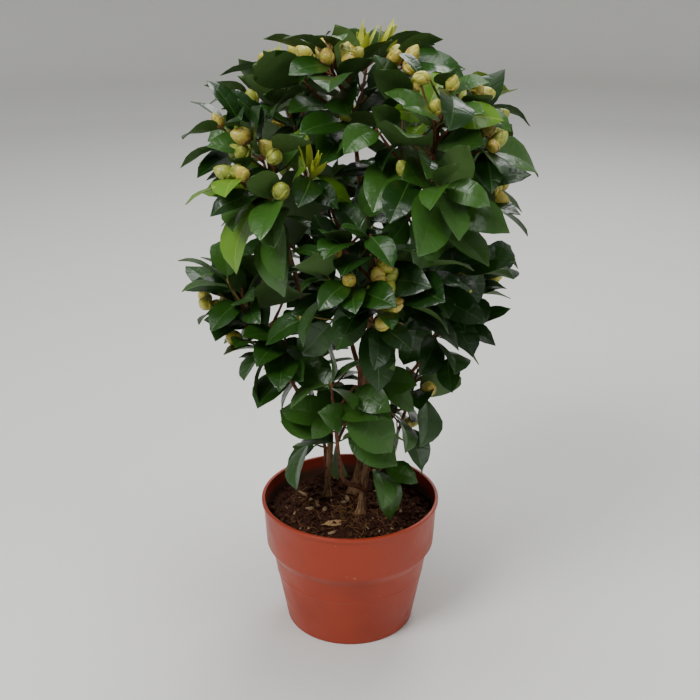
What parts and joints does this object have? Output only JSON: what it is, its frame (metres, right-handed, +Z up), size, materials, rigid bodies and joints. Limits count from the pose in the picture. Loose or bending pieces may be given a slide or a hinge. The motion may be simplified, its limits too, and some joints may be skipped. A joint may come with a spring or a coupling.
{
  "type": "potted camellia shrub",
  "caption": "Young camellia shrub in bud, standing in its round terracotta-coloured plastic nursery pot.",
  "frame": {"origin": "centre of the pot's flat underside", "axes": "+Z up along the pot's axis, -Y towards the front, +X to the right as seen from the front"},
  "size_m": [0.3121, 0.3283, 0.5677],
  "materials": {
    "pot_plastic": "satin moulded terracotta-orange plastic",
    "peat": "rough, fibrous dark brown peat compost",
    "bark": "smooth tan-grey bark with fine cracks",
    "young_bark": "smooth red-brown young bark",
    "leaf": "leathery glossy dark green leaves, paler and duller beneath",
    "bud": "yellow-green scaly flower buds with ochre tips"
  },
  "bodies": {
    "root": {"pot": "pot_plastic", "soil": "peat", "stem_main": "bark", "stem_left": "bark", "stem_front": "bark", "pruned_end_1": "bark", "pruned_end_2": "bark", "bough_low_1": "young_bark", "bough_low_2": "young_bark", "bough_low_3": "young_bark", "bough_middle_1": "young_bark", "bough_middle_2": "young_bark", "bough_middle_3": "young_bark", "bough_middle_4": "young_bark", "bough_upper_3": "young_bark", "bough_upper_4": "young_bark", "foliage_low_1": "leaf", "foliage_low_2": "leaf", "foliage_low_3": "leaf", "foliage_middle_1": "leaf", "foliage_middle_2": "leaf", "foliage_middle_3": "leaf", "foliage_middle_4": "leaf", "foliage_upper_1": "leaf", "foliage_upper_2": "leaf", "foliage_upper_3": "leaf", "foliage_upper_4": "leaf", "foliage_top_1": "leaf"}
  },
  "joints": []
}
